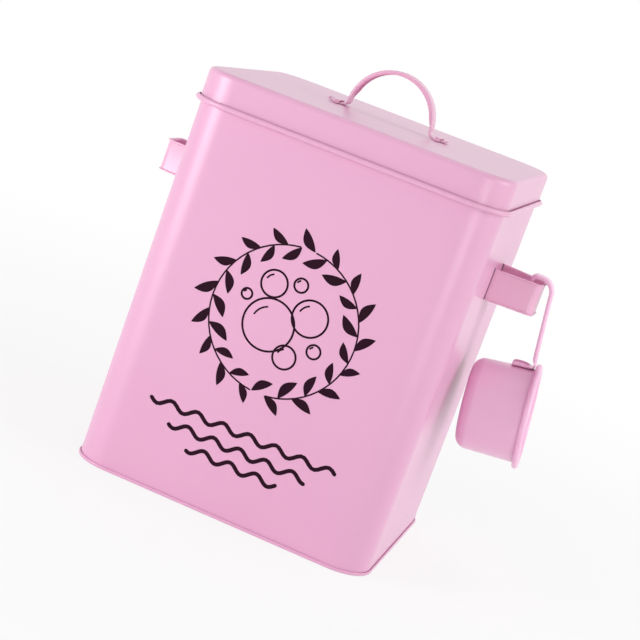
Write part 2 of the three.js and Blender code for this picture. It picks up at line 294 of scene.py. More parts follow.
def turn_out(mesh: Mesh) -> None:
    """Flips a closed mesh whose signed volume is negative, so that its faces look outwards.

    Args:
        mesh: The mesh. Its volume's sign is that of the sum of a . (b x c) over its triangles.
    """
    mesh.calc_loop_triangles()
    corner = np.empty(len(mesh.loop_triangles) * 3, np.int32)
    mesh.loop_triangles.foreach_get("vertices", corner)
    place = np.empty(len(mesh.vertices) * 3, np.float32)
    mesh.vertices.foreach_get("co", place)
    a, b, c = place.reshape(-1, 3).astype(float)[corner.reshape(-1, 3)].transpose(1, 0, 2)
    if np.einsum("ij,ij->i", a, np.cross(b, c)).sum() < 0:
        mesh.flip_normals()


def make_mesh(name: str, points: Array, faces: list, sharp: float = SHEET_SHARP) -> Object:
    """Makes an object at the origin from millimetre points, shaded smooth below an angle.

    Args:
        name: The object's name.
        points: Array of points in millimetres.
        faces: Lists of point numbers.
        sharp: Edges that turn more than this many degrees stay sharp.

    Returns:
        The new object, linked to the scene.
    """
    mesh = bpy.data.meshes.new(name)
    mesh.from_pydata((np.asarray(points, float) * MM).tolist(), [], faces)
    mesh.validate()
    turn_out(mesh)
    shade_smooth(mesh, sharp)
    return add_object(name, mesh)


def cut(
    target: Object, points: Array, faces: list, keep: Keep = Keep.OUTSIDE, sharp: float = SHEET_SHARP
) -> None:
    """Cuts a piece with a tool shape and keeps only the result's mesh.

    Args:
        target: The piece to cut.
        points: Points of the tool in millimetres.
        faces: Faces of the tool.
        keep: What stays. Parts of the piece that cross are joined where it is what lies within.
        sharp: Edges that turn more than this many degrees stay sharp.
    """
    tool = make_mesh(target.name + "_tool", points, faces)
    step = target.modifiers.new("cut", "BOOLEAN")
    step.operation, step.solver, step.object = keep.value, "EXACT", tool
    step.use_self = keep is Keep.WITHIN
    graph = bpy.context.evaluated_depsgraph_get()
    done = bpy.data.meshes.new_from_object(target.evaluated_get(graph))
    target.modifiers.clear()
    target.data = done
    shade_smooth(done, sharp)
    bpy.data.objects.remove(tool)


def prisms(outlines: list[Array], start: float, stop: float) -> tuple[Array, list]:
    """Prisms along X, one on each outline.

    Args:
        outlines: Closed outlines of (y, z) points.
        start: X of the first end.
        stop: X of the other end.

    Returns:
        Points and faces of all the prisms.
    """
    points, faces, first = [], [], 0
    for outline in outlines:
        ends = [np.column_stack([np.full(len(outline), x), outline]) for x in (start, stop)]
        part, sides = loft(np.stack(ends))
        points.append(part)
        faces += [[first + i for i in face] for face in sides]
        first += len(part)
    return np.concatenate(points), faces


# Finishes


def set_inputs(node: Node, values: dict[str, object]) -> None:
    """Sets a node's inputs by their names."""
    for label, value in values.items():
        node.inputs[label].default_value = value


def math_node(tree: NodeTree, operation: str, *feeds: NodeSocket) -> NodeSocket:
    """Adds a math node.

    Args:
        tree: The tree that it joins.
        operation: What it works out.
        feeds: The sockets that feed its inputs, in order.

    Returns:
        Its output.
    """
    step = tree.nodes.new("ShaderNodeMath")
    step.operation = operation
    for socket, feed in zip(step.inputs, feeds):
        tree.links.new(feed, socket)
    return step.outputs[0]


def new_group(name: str, inputs: dict[str, float], outputs: dict[str, str]) -> NodeTree:
    """Starts a shader node group with float inputs and named outputs.

    Args:
        name: The group's name.
        inputs: Default value of each input.
        outputs: Socket type of each output.

    Returns:
        The group, with its input and output nodes.
    """
    group = bpy.data.node_groups.new(name, "ShaderNodeTree")
    for label, value in inputs.items():
        socket = group.interface.new_socket(label, in_out="INPUT", socket_type="NodeSocketFloat")
        socket.default_value = value
    for label, kind in outputs.items():
        group.interface.new_socket(label, in_out="OUTPUT", socket_type=kind)
    group.nodes.new("NodeGroupInput").name = "in"
    group.nodes.new("NodeGroupOutput").name = "out"
    return group


def spray_group() -> NodeTree:
    """Sprayed enamel: soft clouds of tone, and the fine orange peel of the cured paint.

    Returns:
        A group that puts out a tone mask, a sheen value and a height.
    """
    group = new_group(
        "sprayed_enamel",
        {"Cloud Scale": 9.0, "Peel Scale": 420.0, "Roughness": 0.3, "Roughness Spread": 0.06},
        {"Cloud": "NodeSocketFloat", "Roughness": "NodeSocketFloat", "Height": "NodeSocketFloat"},
    )
    nodes, link = group.nodes, group.links.new
    fed, out = nodes["in"].outputs, nodes["out"].inputs
    place = nodes.new("ShaderNodeTexCoord").outputs["Object"]
    cloud, peel = nodes.new("ShaderNodeTexNoise"), nodes.new("ShaderNodeTexNoise")
    set_inputs(cloud, {"Detail": 3.0})
    set_inputs(peel, {"Detail": 2.0, "Roughness": 0.4})
    for noise, label in ((cloud, "Cloud Scale"), (peel, "Peel Scale")):
        link(place, noise.inputs["Vector"])
        link(fed[label], noise.inputs["Scale"])
    tone = cloud.outputs["Fac"]
    link(tone, out["Cloud"])
    spread = math_node(group, "MULTIPLY_ADD", tone, fed["Roughness Spread"], fed["Roughness"])
    link(spread, out["Roughness"])
    link(peel.outputs["Fac"], out["Height"])
    return group


def slot_shade_group() -> NodeTree:
    """Painted shade: the dark line of contact shadow where a strap enters its slot.

    The colour is mixed with a dark plum painted shade by how near |x| is to the wall, over the line's
    width.

    Returns:
        A group that takes and puts out a colour.
    """
    group = new_group("painted_slot_shade", {"Wall": 0.1, "Width": 0.0012}, {"Color": "NodeSocketColor"})
    group.interface.new_socket("Color", in_out="INPUT", socket_type="NodeSocketColor")
    nodes, link = group.nodes, group.links.new
    fed = nodes["in"].outputs
    split = nodes.new("ShaderNodeSeparateXYZ")
    link(nodes.new("ShaderNodeTexCoord").outputs["Object"], split.inputs[0])
    fade = nodes.new("ShaderNodeMapRange")
    fade.interpolation_type = "SMOOTHSTEP"
    set_inputs(fade, {"To Min": 0.92, "To Max": 0.0})
    link(math_node(group, "ABSOLUTE", split.outputs["X"]), fade.inputs["Value"])
    link(fed["Wall"], fade.inputs["From Min"])
    link(math_node(group, "ADD", fed["Wall"], fed["Width"]), fade.inputs["From Max"])
    mix = nodes.new("ShaderNodeMix")
    mix.data_type = "RGBA"
    # Dark plum: the colour of the painted contact shadow at the slot.
    set_inputs(mix, {"B": (0.10, 0.02, 0.06, 1.0)})
    link(fade.outputs["Result"], mix.inputs["Factor"])
    link(fed["Color"], mix.inputs["A"])
    link(mix.outputs["Result"], nodes["out"].inputs["Color"])
    return group


@dataclass(frozen=True)
class Enamel:
    """Sprayed satin enamel on steel sheet. The peel's height and the place of the painted slot shade
    are in metres.
    """

    name: str
    light: Point
    deep: Point
    roughness: float = 0.36
    spread: float = 0.06
    cloud_scale: float = 9.0
    peel_scale: float = 420.0
    peel: float = 0.05
    peel_height: float = 0.0002
    coat: float = 0.5
    coat_roughness: float = 0.3
    specular: float = 0.5
    # Distance of the wall at which a painted shade darkens the strap; 0 for none.
    slot_shade_wall: float = 0.0

    def build(self, group: NodeTree, shade: NodeTree) -> Material:
        """Makes the material.

        Args:
            group: The shared sprayed enamel group.
            shade: The shared group that paints shade at a slot, used where the wall's distance is
                given.

        Returns:
            The node material.
        """
        paint = bpy.data.materials.new(self.name)
        paint.use_nodes = True
        nodes, link = paint.node_tree.nodes, paint.node_tree.links.new
        shader = nodes["Principled BSDF"]
        coat = {"Coat Weight": self.coat, "Coat Roughness": self.coat_roughness}
        set_inputs(shader, {"Specular IOR Level": self.specular, **coat})
        spray = nodes.new("ShaderNodeGroup")
        spray.node_tree = group
        set_inputs(spray, {"Cloud Scale": self.cloud_scale, "Peel Scale": self.peel_scale})
        set_inputs(spray, {"Roughness": self.roughness, "Roughness Spread": self.spread})
        tone = nodes.new("ShaderNodeMix")
        tone.data_type = "RGBA"
        set_inputs(tone, {"A": (*self.light, 1.0), "B": (*self.deep, 1.0)})
        bump = nodes.new("ShaderNodeBump")
        set_inputs(bump, {"Strength": self.peel, "Distance": self.peel_height})
        link(spray.outputs["Cloud"], tone.inputs["Factor"])
        colour = tone.outputs["Result"]
        # Painted shade: darken the colour where the strap meets the wall's slot.
        if self.slot_shade_wall:
            dark = nodes.new("ShaderNodeGroup")
            dark.node_tree = shade
            set_inputs(dark, {"Wall": self.slot_shade_wall})
            link(colour, dark.inputs["Color"])
            colour = dark.outputs["Color"]
        link(colour, shader.inputs["Base Color"])
        link(spray.outputs["Roughness"], shader.inputs["Roughness"])
        link(spray.outputs["Height"], bump.inputs["Height"])
        link(bump.outputs["Normal"], shader.inputs["Normal"])
        return paint


SHELL_ENAMEL = Enamel("shell_enamel", (0.77, 0.40, 0.595), (0.73, 0.36, 0.55))
LID_ENAMEL = Enamel("lid_enamel", (0.77, 0.40, 0.59), (0.735, 0.365, 0.55))
HANDLE_ENAMEL = Enamel("handle_enamel", (0.82, 0.44, 0.62), (0.78, 0.40, 0.575), roughness=0.3)
# The loops' enamel darkens with a painted shade where they enter the wall's slots.
LOOP_ENAMEL = replace(HANDLE_ENAMEL, name="loop_enamel", slot_shade_wall=Sizes.width / 2 * MM)
# Scoop cup and strip: a lighter copy of the tin's pink enamel, painted light that makes up for the
# lamp light the tin keeps off the scoop.
SCOOP_LIGHTENED_ENAMEL = Enamel("scoop_lightened_enamel", (0.93, 0.55, 0.76), (0.90, 0.51, 0.72), roughness=0.3)
PRINT_INK = Enamel(
    "plum_ink",
    (0.022, 0.002, 0.012),
    (0.014, 0.002, 0.008),
    roughness=0.6,
    spread=0.08,
    cloud_scale=60.0,
    peel_scale=900.0,
    peel=0.08,
    coat=0.0,
    specular=0.1,
)


# The tin


@dataclass
class Workshop:
    """Builds pieces and gives each its finish and its body."""

    group: NodeTree = field(default_factory=spray_group)
    shade: NodeTree = field(default_factory=slot_shade_group)
    finishes: dict[str, Material] = field(default_factory=dict)

    def finish_piece(self, piece: Object, enamel: Enamel, body: str, node: str = "") -> None:
        """Dresses a piece and hangs it on the frame.

        Args:
            piece: The object.
            enamel: Its finish.
            body: The CAD body that it rides on.
            node: The CAD node that it stands for, if any.
        """
        if enamel.name not in self.finishes:
            self.finishes[enamel.name] = enamel.build(self.group, self.shade)
        piece.data.materials.clear()
        piece.data.materials.append(self.finishes[enamel.name])
        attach(piece, body)
        if node:
            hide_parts(node)
        log.info("%s: %d faces on %s", piece.name, len(piece.data.polygons), body)


@dataclass
class Sheet(Sizes):
    """The tin's plan and the sizes that its wall, base and lid share."""

    corner: float = 23.0
    lid_fit: float = 0.6
    shoulder: float = 3.6
    lead: float = 1.0
    steps: int = 22

    @property
    def count(self) -> int:
        """Number of points round the plan."""
        return 4 * (self.steps + 3)

    def plan(self, offset: float) -> Array:
        """The tin's plan grown by an offset.

        Each corner is a quarter circle, and `lead` sets a point just inside each straight side, so
        that the flats shade flat.

        Args:
            offset: Distance outwards from the wall's outer face.

        Returns:
            Array of (x, y) points.
        """
        x, y = self.width / 2 - self.corner, self.depth / 2 - self.corner
        quarters = []
        for k, (cx, cy) in enumerate(((x, y), (-x, y), (-x, -y), (x, -y))):
            turn = arc(cx, cy, self.corner + offset, 90 * k, 90 * k + 90, self.steps)
            a, b = np.radians(90 * k), np.radians(90 * k + 90)
            before = turn[:1] + self.lead * np.array([[np.sin(a), -np.cos(a)]])
            after = turn[-1:] + self.lead * np.array([[-np.sin(b), np.cos(b)]])
            quarters += [before, turn, after]
        return np.concatenate(quarters)

    def rings(self, section: Array) -> Array:
        """Runs a section of (offset, height) points round the plan."""
        return np.stack([np.column_stack([self.plan(o), np.full(self.count, z)]) for o, z in section])


@dataclass
class Tin(Sheet):
    """Body wall and base pan."""

    rim_curl: float = 1.6
    curl_turn: float = 290.0
    seam_width: float = 5.0
    seam_groove: float = 0.8
    seam_bed: float = 0.65
    seam_sunk: float = 0.1
    seam_start: float = 4.0
    seam_stop: float = 3.0
    flange: float = 0.5
    flange_bend: float = 0.35
    foot_lead: float = 2.2
    pan_band: float = 6.0
    pan_lead: float = 2.0
    pan_bend: float = 0.6
    fold_bend: float = 0.3
    slot_end: float = 3.0
    slot_end_width: float = 2.6
    slot_reach: float = 2.0

    @property
    def rim_z(self) -> float:
        """Height of the middle of the rim's curl, seated in the lid's shoulder.

        Returns:
            The height at which the curl lies one gap inside the shoulder's inner face.
        """
        reach = self.shoulder - self.tin_sheet - self.gap - self.rim_curl
        side = -self.rim_curl - (self.lid_fit + self.tin_sheet - self.shoulder)
        return self.lid_top - self.shoulder + float(np.sqrt(reach**2 - side**2))

    def wall(self) -> Object:
        """The wrapped wall: outward flange, straight wall, rim curled inwards, slots and seam.

        Returns:
            The piece, its section run round the plan and then cut.
        """
        half, mid, bend = self.tin_sheet / 2, -self.tin_sheet / 2, self.flange_bend
        low = self.gap + self.tin_sheet
        line = np.concatenate([
            [[self.flange - half, low + half]],
            arc(mid + bend, low + half + bend, bend, 270, 180, 4),
            [[mid, low + self.foot_lead], [mid, self.rim_z - self.lead]],
            arc(-self.rim_curl, self.rim_z, self.rim_curl - half, 0, self.curl_turn, 22),
        ])
        wall = make_mesh("tin_wall", *loft(self.rings(sheet_outline(line, self.tin_sheet)), True))
        slots = [self.slot(-self.root_half), self.slot(self.root_half)]
        for side in Side:
            face = side.value * self.width / 2
            cut(wall, *prisms(slots, face - self.slot_reach, face + self.slot_reach))
        seam_x, groove = self.seam_width / 2, self.seam_groove / 2
        cut(wall, *prisms([self.seam()], seam_x - groove, seam_x + groove))
        return wall

    def slot(self, y: float) -> Array:
        """Outline of a strap slot, with wider ends for the strap's edges.

        Args:
            y: Where its middle lies.

        Returns:
            Array of (y, z) points.
        """
        narrow, wide = self.strap_sheet / 2 + self.gap, self.slot_end_width / 2
        half = self.strap_height / 2 + self.gap
        neck = half - self.slot_end
        quarter = [(wide, half), (wide, neck), (narrow, neck)]
        side = quarter + [(a, -b) for a, b in quarter[::-1]]
        return np.array(side + [(-a, -b) for a, b in side]) + [y, self.strap_middle]

    def seam(self) -> Array:
        """Outline of the shallow groove that the lock seam shows down the back.

        Returns:
            Array of (y, z) points.
        """
        inner, outer = self.depth / 2 - self.tin_sheet / 2, self.depth / 2 + 1
        low, high = self.seam_start, self.rim_z - self.seam_stop
        return np.array([(inner, low), (outer, low), (outer, high), (inner, high)])

    def fold(self) -> Object:
        """The folded layers of the lock seam, which lie flat behind the wall at the back.

        Returns:
            The piece, one outline carried straight up.
        """
        half, thick = self.seam_width / 2, self.seam_bed + self.seam_sunk
        x = np.linspace(-half + thick / 2, half - thick / 2, 9)
        y = self.depth / 2 - self.tin_sheet - self.seam_bed + thick / 2
        outline = sheet_outline(np.stack([x, np.full_like(x, y)], 1), thick, 6)
        ends = (self.gap + 2 * self.tin_sheet, self.rim_z - self.rim_curl)
        rings = np.stack([np.column_stack([outline, np.full(len(outline), z)]) for z in ends])
        return make_mesh("lock_seam", *loft(rings))

    def base(self) -> Object:
        """The base pan: flat underside, rim folded up and over the wall's flange.

        Returns:
            The piece, its section run round the plan and closed across the middle.
        """
        sheet, gap, bend, fold = self.tin_sheet, self.gap, self.pan_bend, self.fold_bend
        low = sheet / 2
        mid = self.flange + gap + sheet - low
        high = gap + sheet + sheet + gap + sheet - low
        line = np.concatenate([
            [[-self.pan_band, low], [-self.pan_lead, low]],
            arc(mid - bend, low + bend, bend, 270, 360, 6),
            arc(mid - fold, high - fold, fold, 0, 90, 5),
            [[gap + sheet / 2, high]],
        ])
        open_section = sheet_outline(line, sheet)[:-2]
        return make_mesh("tin_base", *loft(self.rings(open_section)))

    def build(self, shop: Workshop) -> None:
        """Builds and dresses the wall, its seam and the base."""
        for piece, node in ((self.wall(), "body_shell"), (self.fold(), ""), (self.base(), "base_pan")):
            shop.finish_piece(piece, SHELL_ENAMEL, "tin", node)


@dataclass
class Lid(Sheet):
    """Pressed lid: flat top, rounded shoulder, skirt and open curl."""

    skirt: float = 20.0
    bead: float = 1.7
    crown_lead: float = 1.2

    def shell(self) -> Object:
        """Runs the lid's section round the plan, from the outer top to the inner top.

        Returns:
            The piece.
        """
        s, top, fit, lead = self.tin_sheet, self.lid_top, self.lid_fit, self.lead
        out, turn_z, bead_z = fit + s, top - self.shoulder, top - self.skirt
        turn_x, bead_x = out - self.shoulder, fit + self.bead
        crown = turn_x - self.crown_lead
        section = np.concatenate([
            [[crown, top]],
            arc(turn_x, turn_z, self.shoulder, 90, 0, 12),
            [[out, turn_z - lead], [out, bead_z + lead]],
            arc(bead_x, bead_z, self.bead - s, 180, 450, 26),
            arc(bead_x, bead_z, self.bead, 450, 180, 30),
            [[fit, bead_z + lead], [fit, turn_z - lead]],
            arc(turn_x, turn_z, self.shoulder - s, 0, 90, 10),
            [[crown, top - s]],
        ])
        return make_mesh("lid_pressing", *loft(self.rings(section)))

    def build(self, shop: Workshop) -> None:
        """Builds and dresses the lid."""
        shop.finish_piece(self.shell(), LID_ENAMEL, "lid", "lid_shell")


@dataclass
class SideHandle(Sizes):
    """One strap loop, its tongues passed through the wall's slots.

    `stations` are the shares of each arm at which the lips' rise is followed.
    """

    side: Side = Side.LEFT
    root_bend: float = 1.4
    end_half: float = 13.0
    bend: float = 5.0
    stub: float = 2.0
    tongue: float = 9.0
    lip_run: float = 4.0
    stations: Stations = (0.0, 0.04, 0.08, 0.12, 0.16, 0.2, 0.3, 0.45, 0.6, 0.75)

    def path(self) -> Array:
        """Plan of the strap's inner face, from one tongue round to the other.

        Returns:
            Array of (x, y) points.
        """
        wall, sheet = self.width / 2, self.strap_sheet
        bed = wall - self.tin_sheet - self.gap - sheet
        root, corner = self.root_half - sheet / 2, self.end_half - sheet
        start, end = wall + self.stub, wall + self.strap_reach - sheet
        half = [
            (bed, root + sheet + self.tongue, 0.0),
            (bed, root, self.root_bend),
            *((start + s * (end - start), root + s * (corner - root), 0.0) for s in self.stations),
            (end, corner, self.bend - sheet),
        ]
        return rounded_path(half + [(x, -y, r) for x, y, r in half[::-1]], 12)

    def build(self, shop: Workshop) -> None:
        """Builds and dresses the loop.

        Args:
            shop: Where the piece is finished.
        """
        path, name = self.path(), self.side.name.lower()
        stand = ease((path[:, 0] - self.width / 2 - self.stub) / self.lip_run)
        x, y, z = bend_strap(path, self.strap_height, self.strap_sheet, self.strap_lip, stand)
        rings = np.stack([self.side.value * x, y, self.strap_middle + z], -1)
        piece = make_mesh(f"{name}_loop", *loft(rings), STRAP_SHARP)
        shop.finish_piece(piece, LOOP_ENAMEL, "tin", f"side_handle_{name}")


@dataclass
class LidHandle(Sizes):
    """Arched strap and its two staples."""

    arch_width: float = 12.0
    sheet: float = 1.1
    lip: float = 1.7
    lip_run: float = 9.0
    radius: float = 29.0
    rise: float = 4.0
    foot_bend: float = 3.0
    foot: float = 6.0
    tip_radius: float = 3.5
    tip_turn: float = 60.0
    staple_width: float = 4.0
    staple_ear: float = 4.0
    staple_sheet: float = 0.9
    ear_slack: float = 0.1
    bridge_bend: float = 0.2

    @property
    def foot_top(self) -> float:
        """Height of the foot's upper face."""
        return self.lid_top + self.gap + self.sheet

    @property
    def foot_x(self) -> float:
        """Where the foot's bend ends and its flat starts."""
        drop = self.lid_top + self.rise - self.foot_top - self.foot_bend
        return float(np.sqrt((self.radius + self.foot_bend) ** 2 - drop**2))

    def arch(self) -> Object:
        """The strap: upturned tip, flat foot, bend, arch and the same again.

        Returns:
            The piece, the strap's section carried along arcs that meet without a corner.
        """
        arch_z, foot_z = self.lid_top + self.rise, self.foot_top + self.foot_bend
        lean = float(np.degrees(np.arctan2(foot_z - arch_z, self.foot_x)))
        tip = self.tip_radius - self.sheet
        half = np.concatenate([
            arc(self.foot_x + self.foot, self.foot_top + tip, tip, self.tip_turn - 90, -90, 8),
            arc(self.foot_x, foot_z, self.foot_bend, 270, 180 + lean, 12),
            arc(0, arch_z, self.radius, lean, 90, 40)[1:],
        ])
        path = np.concatenate([half, half[-2::-1] * [-1, 1]])
        stand = ease((path[:, 1] - foot_z) / self.lip_run)
        x, z, y = bend_strap(path, self.arch_width, self.sheet, self.lip, stand)
        return make_mesh("lid_arch", *loft(np.stack([x, y, z], -1)), STRAP_SHARP)

    def staple(self, side: Side) -> Object:
        """One staple: two welded ears and a bridge over the foot.

        Args:
            side: Which of the arch's feet it holds.

        Returns:
            The piece, a flat strap carried along its bent path.
        """
        seat, under = self.lid_top + self.gap, self.foot_top + self.gap
        inside = self.arch_width / 2 + self.gap
        ear, tight = inside + self.staple_sheet + self.staple_ear, self.staple_sheet + self.ear_slack
        half = [(inside, under, self.bridge_bend), (inside, seat, tight), (ear, seat, 0.0)]
        path = rounded_path([(-y, z, r) for y, z, r in half[::-1]] + half, 4)
        y, z, x = bend_strap(path, self.staple_width, self.staple_sheet, 0.0, np.zeros(len(path)))
        rings = np.stack([side.value * (self.foot_x + self.foot / 2) + x, y, z], -1)
        return make_mesh(f"{side.name.lower()}_staple", *loft(rings), STRAP_SHARP)

    def build(self, shop: Workshop) -> None:
        """Builds and dresses the arch and its staples.

        Args:
            shop: Where pieces are finished.
        """
        shop.finish_piece(self.arch(), HANDLE_ENAMEL, "lid", "lid_handle")
        for side in Side:
            node = f"lid_staple_{side.name.lower()}"
            shop.finish_piece(self.staple(side), HANDLE_ENAMEL, "lid", node)


@dataclass
class Scoop(Sizes):
    """Drawn cup with a rolled rim, and its hooked strip.

    The strip's stations are places along its straight runs, measured from the bend's corner or
    from an end, at which the lips' rise is followed.
    """

    radius: float = 31.0
    base_radius: float = 30.0
    cup_depth: float = 43.5
    corner: float = 8.0
    sheet: float = 0.7
    bead: float = 2.1
    bead_turn: float = 280.0
    lead: float = 1.0
    draft: float = 0.05
    sides: int = 96
    pitch: float = 7.35
    yaw: float = 3.4
    arm_width: float = 11.0
    arm_sheet: float = 1.1
    arm_lip: float = 1.7
    tab: float = 15.0
    weld: float = 0.04
    arm_bend: float = 1.6
    arm_rise: float = 58.0
    hook_clear: float = 6.4
    hook_length: float = 16.0
    hook_radius: float = 10.0
    tip_radius: float = 4.0
    tip: float = 11.0
    notch_half: float = 2.6
    notch_run: float = 3.5
    end_lip: float = 0.35
    end_run: float = 3.0
    tab_stations: Stations = (0.0, 1.0, 2.0, 3.0, 6.0)
    bend_stations: Stations = (5.4, 3.4)
    rise_stations: Stations = (3.4, 4.4, 5.4, 6.4, 8.4, 20.0, 30.0)
    tip_stations: Stations = (4.0, 2.0, 0.0)

    @property
    def arm_u(self) -> float:
        """How far along the cup's axis the strip's rising part stands."""
        return -2 * self.bead - self.gap

    @property
    def hook_top(self) -> float:
        """Height of the hook's upper face, with its bend resting on the loop's outer edge.

        Returns:
            The height at which the loop's edge lies one gap inside the bend's lips.
        """
        yaw, pitch = np.radians(self.yaw), np.radians(self.pitch)
        slant = self.arm_width / 2 * np.sin(yaw)
        seat = self.hook_radius - self.arm_sheet - self.arm_lip - self.gap - slant
        bend_x = self.hook_clear - self.hook_radius * (1 - np.sin(pitch)) / np.cos(pitch)
        drop = np.sqrt(seat**2 - (self.strap_lip - bend_x) ** 2)
        return float(self.strap_middle + self.strap_height / 2 + self.hook_radius - drop)

    def tip_up(self, u: Array, v: Array) -> tuple[Array, Array]:
        """Turns cup coordinates by the pitch and moves them to where the cup hangs.

        Args:
            u: Distances along the cup's axis, out of its mouth.
            v: Distances across it, upwards.

        Returns:
            Distances out from the loop's end, and heights.
        """
        c, s = np.cos(np.radians(self.pitch)), np.sin(np.radians(self.pitch))
        top_v = self.radius + self.gap + self.arm_rise
        x0 = self.hook_clear - (self.arm_u * c - top_v * s)
        z0 = self.hook_top - (self.arm_u * s + top_v * c)
        return x0 + u * c - v * s, z0 + u * s + v * c

    def swing(self, x: Array, y: Array, z: Array) -> Array:
        """Turns points about the upright line through the hook and moves them to the loop."""
        c, s = np.cos(np.radians(self.yaw)), np.sin(np.radians(self.yaw))
        return np.stack([self.width / 2 + self.strap_reach + x * c - y * s, x * s + y * c, z], -1)

    def cup(self) -> Object:
        """Turns the cup's profile round its axis: each ring is the radius times (cos, sin).

        Returns:
            The piece.
        """
        wall, floor = self.radius - self.sheet, -self.cup_depth
        base, bottom = self.base_radius - self.corner, floor + self.corner
        bead_x, bead_u, stop = wall + self.bead, -self.bead, 180 - self.bead_turn
        profile = np.concatenate([
            [[self.lead, floor], [base - self.lead, floor]],
            arc(base, bottom, self.corner, -90, 0, 14),
            [[self.radius - self.draft, bead_u - self.lead]],
            arc(bead_x, bead_u, self.bead - self.sheet, 180, stop, 24),
            arc(bead_x, bead_u, self.bead, stop, 180, 30),
            [[wall - self.draft, bead_u - self.lead]],
            arc(base, bottom, self.corner - self.sheet, 0, -90, 12),
            [[base - self.lead, floor + self.sheet], [self.lead, floor + self.sheet]],
        ])
        turn = np.linspace(0, 2 * np.pi, self.sides, endpoint=False)
        r, u = profile[:, :1], profile[:, 1:]
        x, z = self.tip_up(np.broadcast_to(u, (len(profile), self.sides)), r * np.sin(turn))
        return make_mesh("scoop_bowl", *loft(self.swing(x, r * np.cos(turn), z)))

    def arm_path(self) -> Array:
        """Side view of the strip's smooth face, from the tab's end to the hook's tip.

        Returns:
            Array of (distance out, height) points.
        """
        arm_u, tab_v = self.arm_u, self.radius + self.weld
        inside = self.hook_clear - self.hook_length
        corners = [
            *((*self.tip_up(arm_u - self.tab + t, tab_v), 0) for t in self.tab_stations),
            *((*self.tip_up(arm_u - t, tab_v), 0) for t in self.bend_stations),
            (*self.tip_up(arm_u, tab_v), self.arm_bend + self.arm_sheet),
            *((*self.tip_up(arm_u, tab_v + t), 0) for t in self.rise_stations),
            (self.hook_clear, self.hook_top, self.hook_radius),
            (inside, self.hook_top, self.tip_radius),
            *((inside, self.hook_top - self.tip + t, 0) for t in self.tip_stations),
        ]
        return rounded_path(corners, 14)

    def arm(self) -> Object:
        """The strip: tab on the cup, bend, rise, hook over the loop and turned-down tip.

        Returns:
            The piece, with lips that lie flat in the tab's bend and are low at both ends.
        """
        path = self.arm_path()
        run = np.concatenate([[0], np.cumsum(np.linalg.norm(np.diff(path, axis=0), axis=1))])
        low = self.arm_bend + self.arm_sheet
        bend = self.tab - low + low * np.pi / 4
        stand = np.clip((np.abs(run - bend) - self.notch_half) / self.notch_run, 0, 1)
        for end in (run, run[-1] - run):
            stand = np.minimum(stand, np.clip(self.end_lip + end / self.end_run, 0, 1))
        x, z, y = bend_strap(path, self.arm_width, self.arm_sheet, self.arm_lip, stand)
        return make_mesh("scoop_strip", *loft(self.swing(x, -y, z)), STRAP_SHARP)

    def build(self, shop: Workshop) -> None:
        """Builds and dresses the cup and its strip."""
        shop.finish_piece(self.cup(), SCOOP_LIGHTENED_ENAMEL, "tin", "scoop_cup")
        shop.finish_piece(self.arm(), SCOOP_LIGHTENED_ENAMEL, "tin", "scoop_arm")


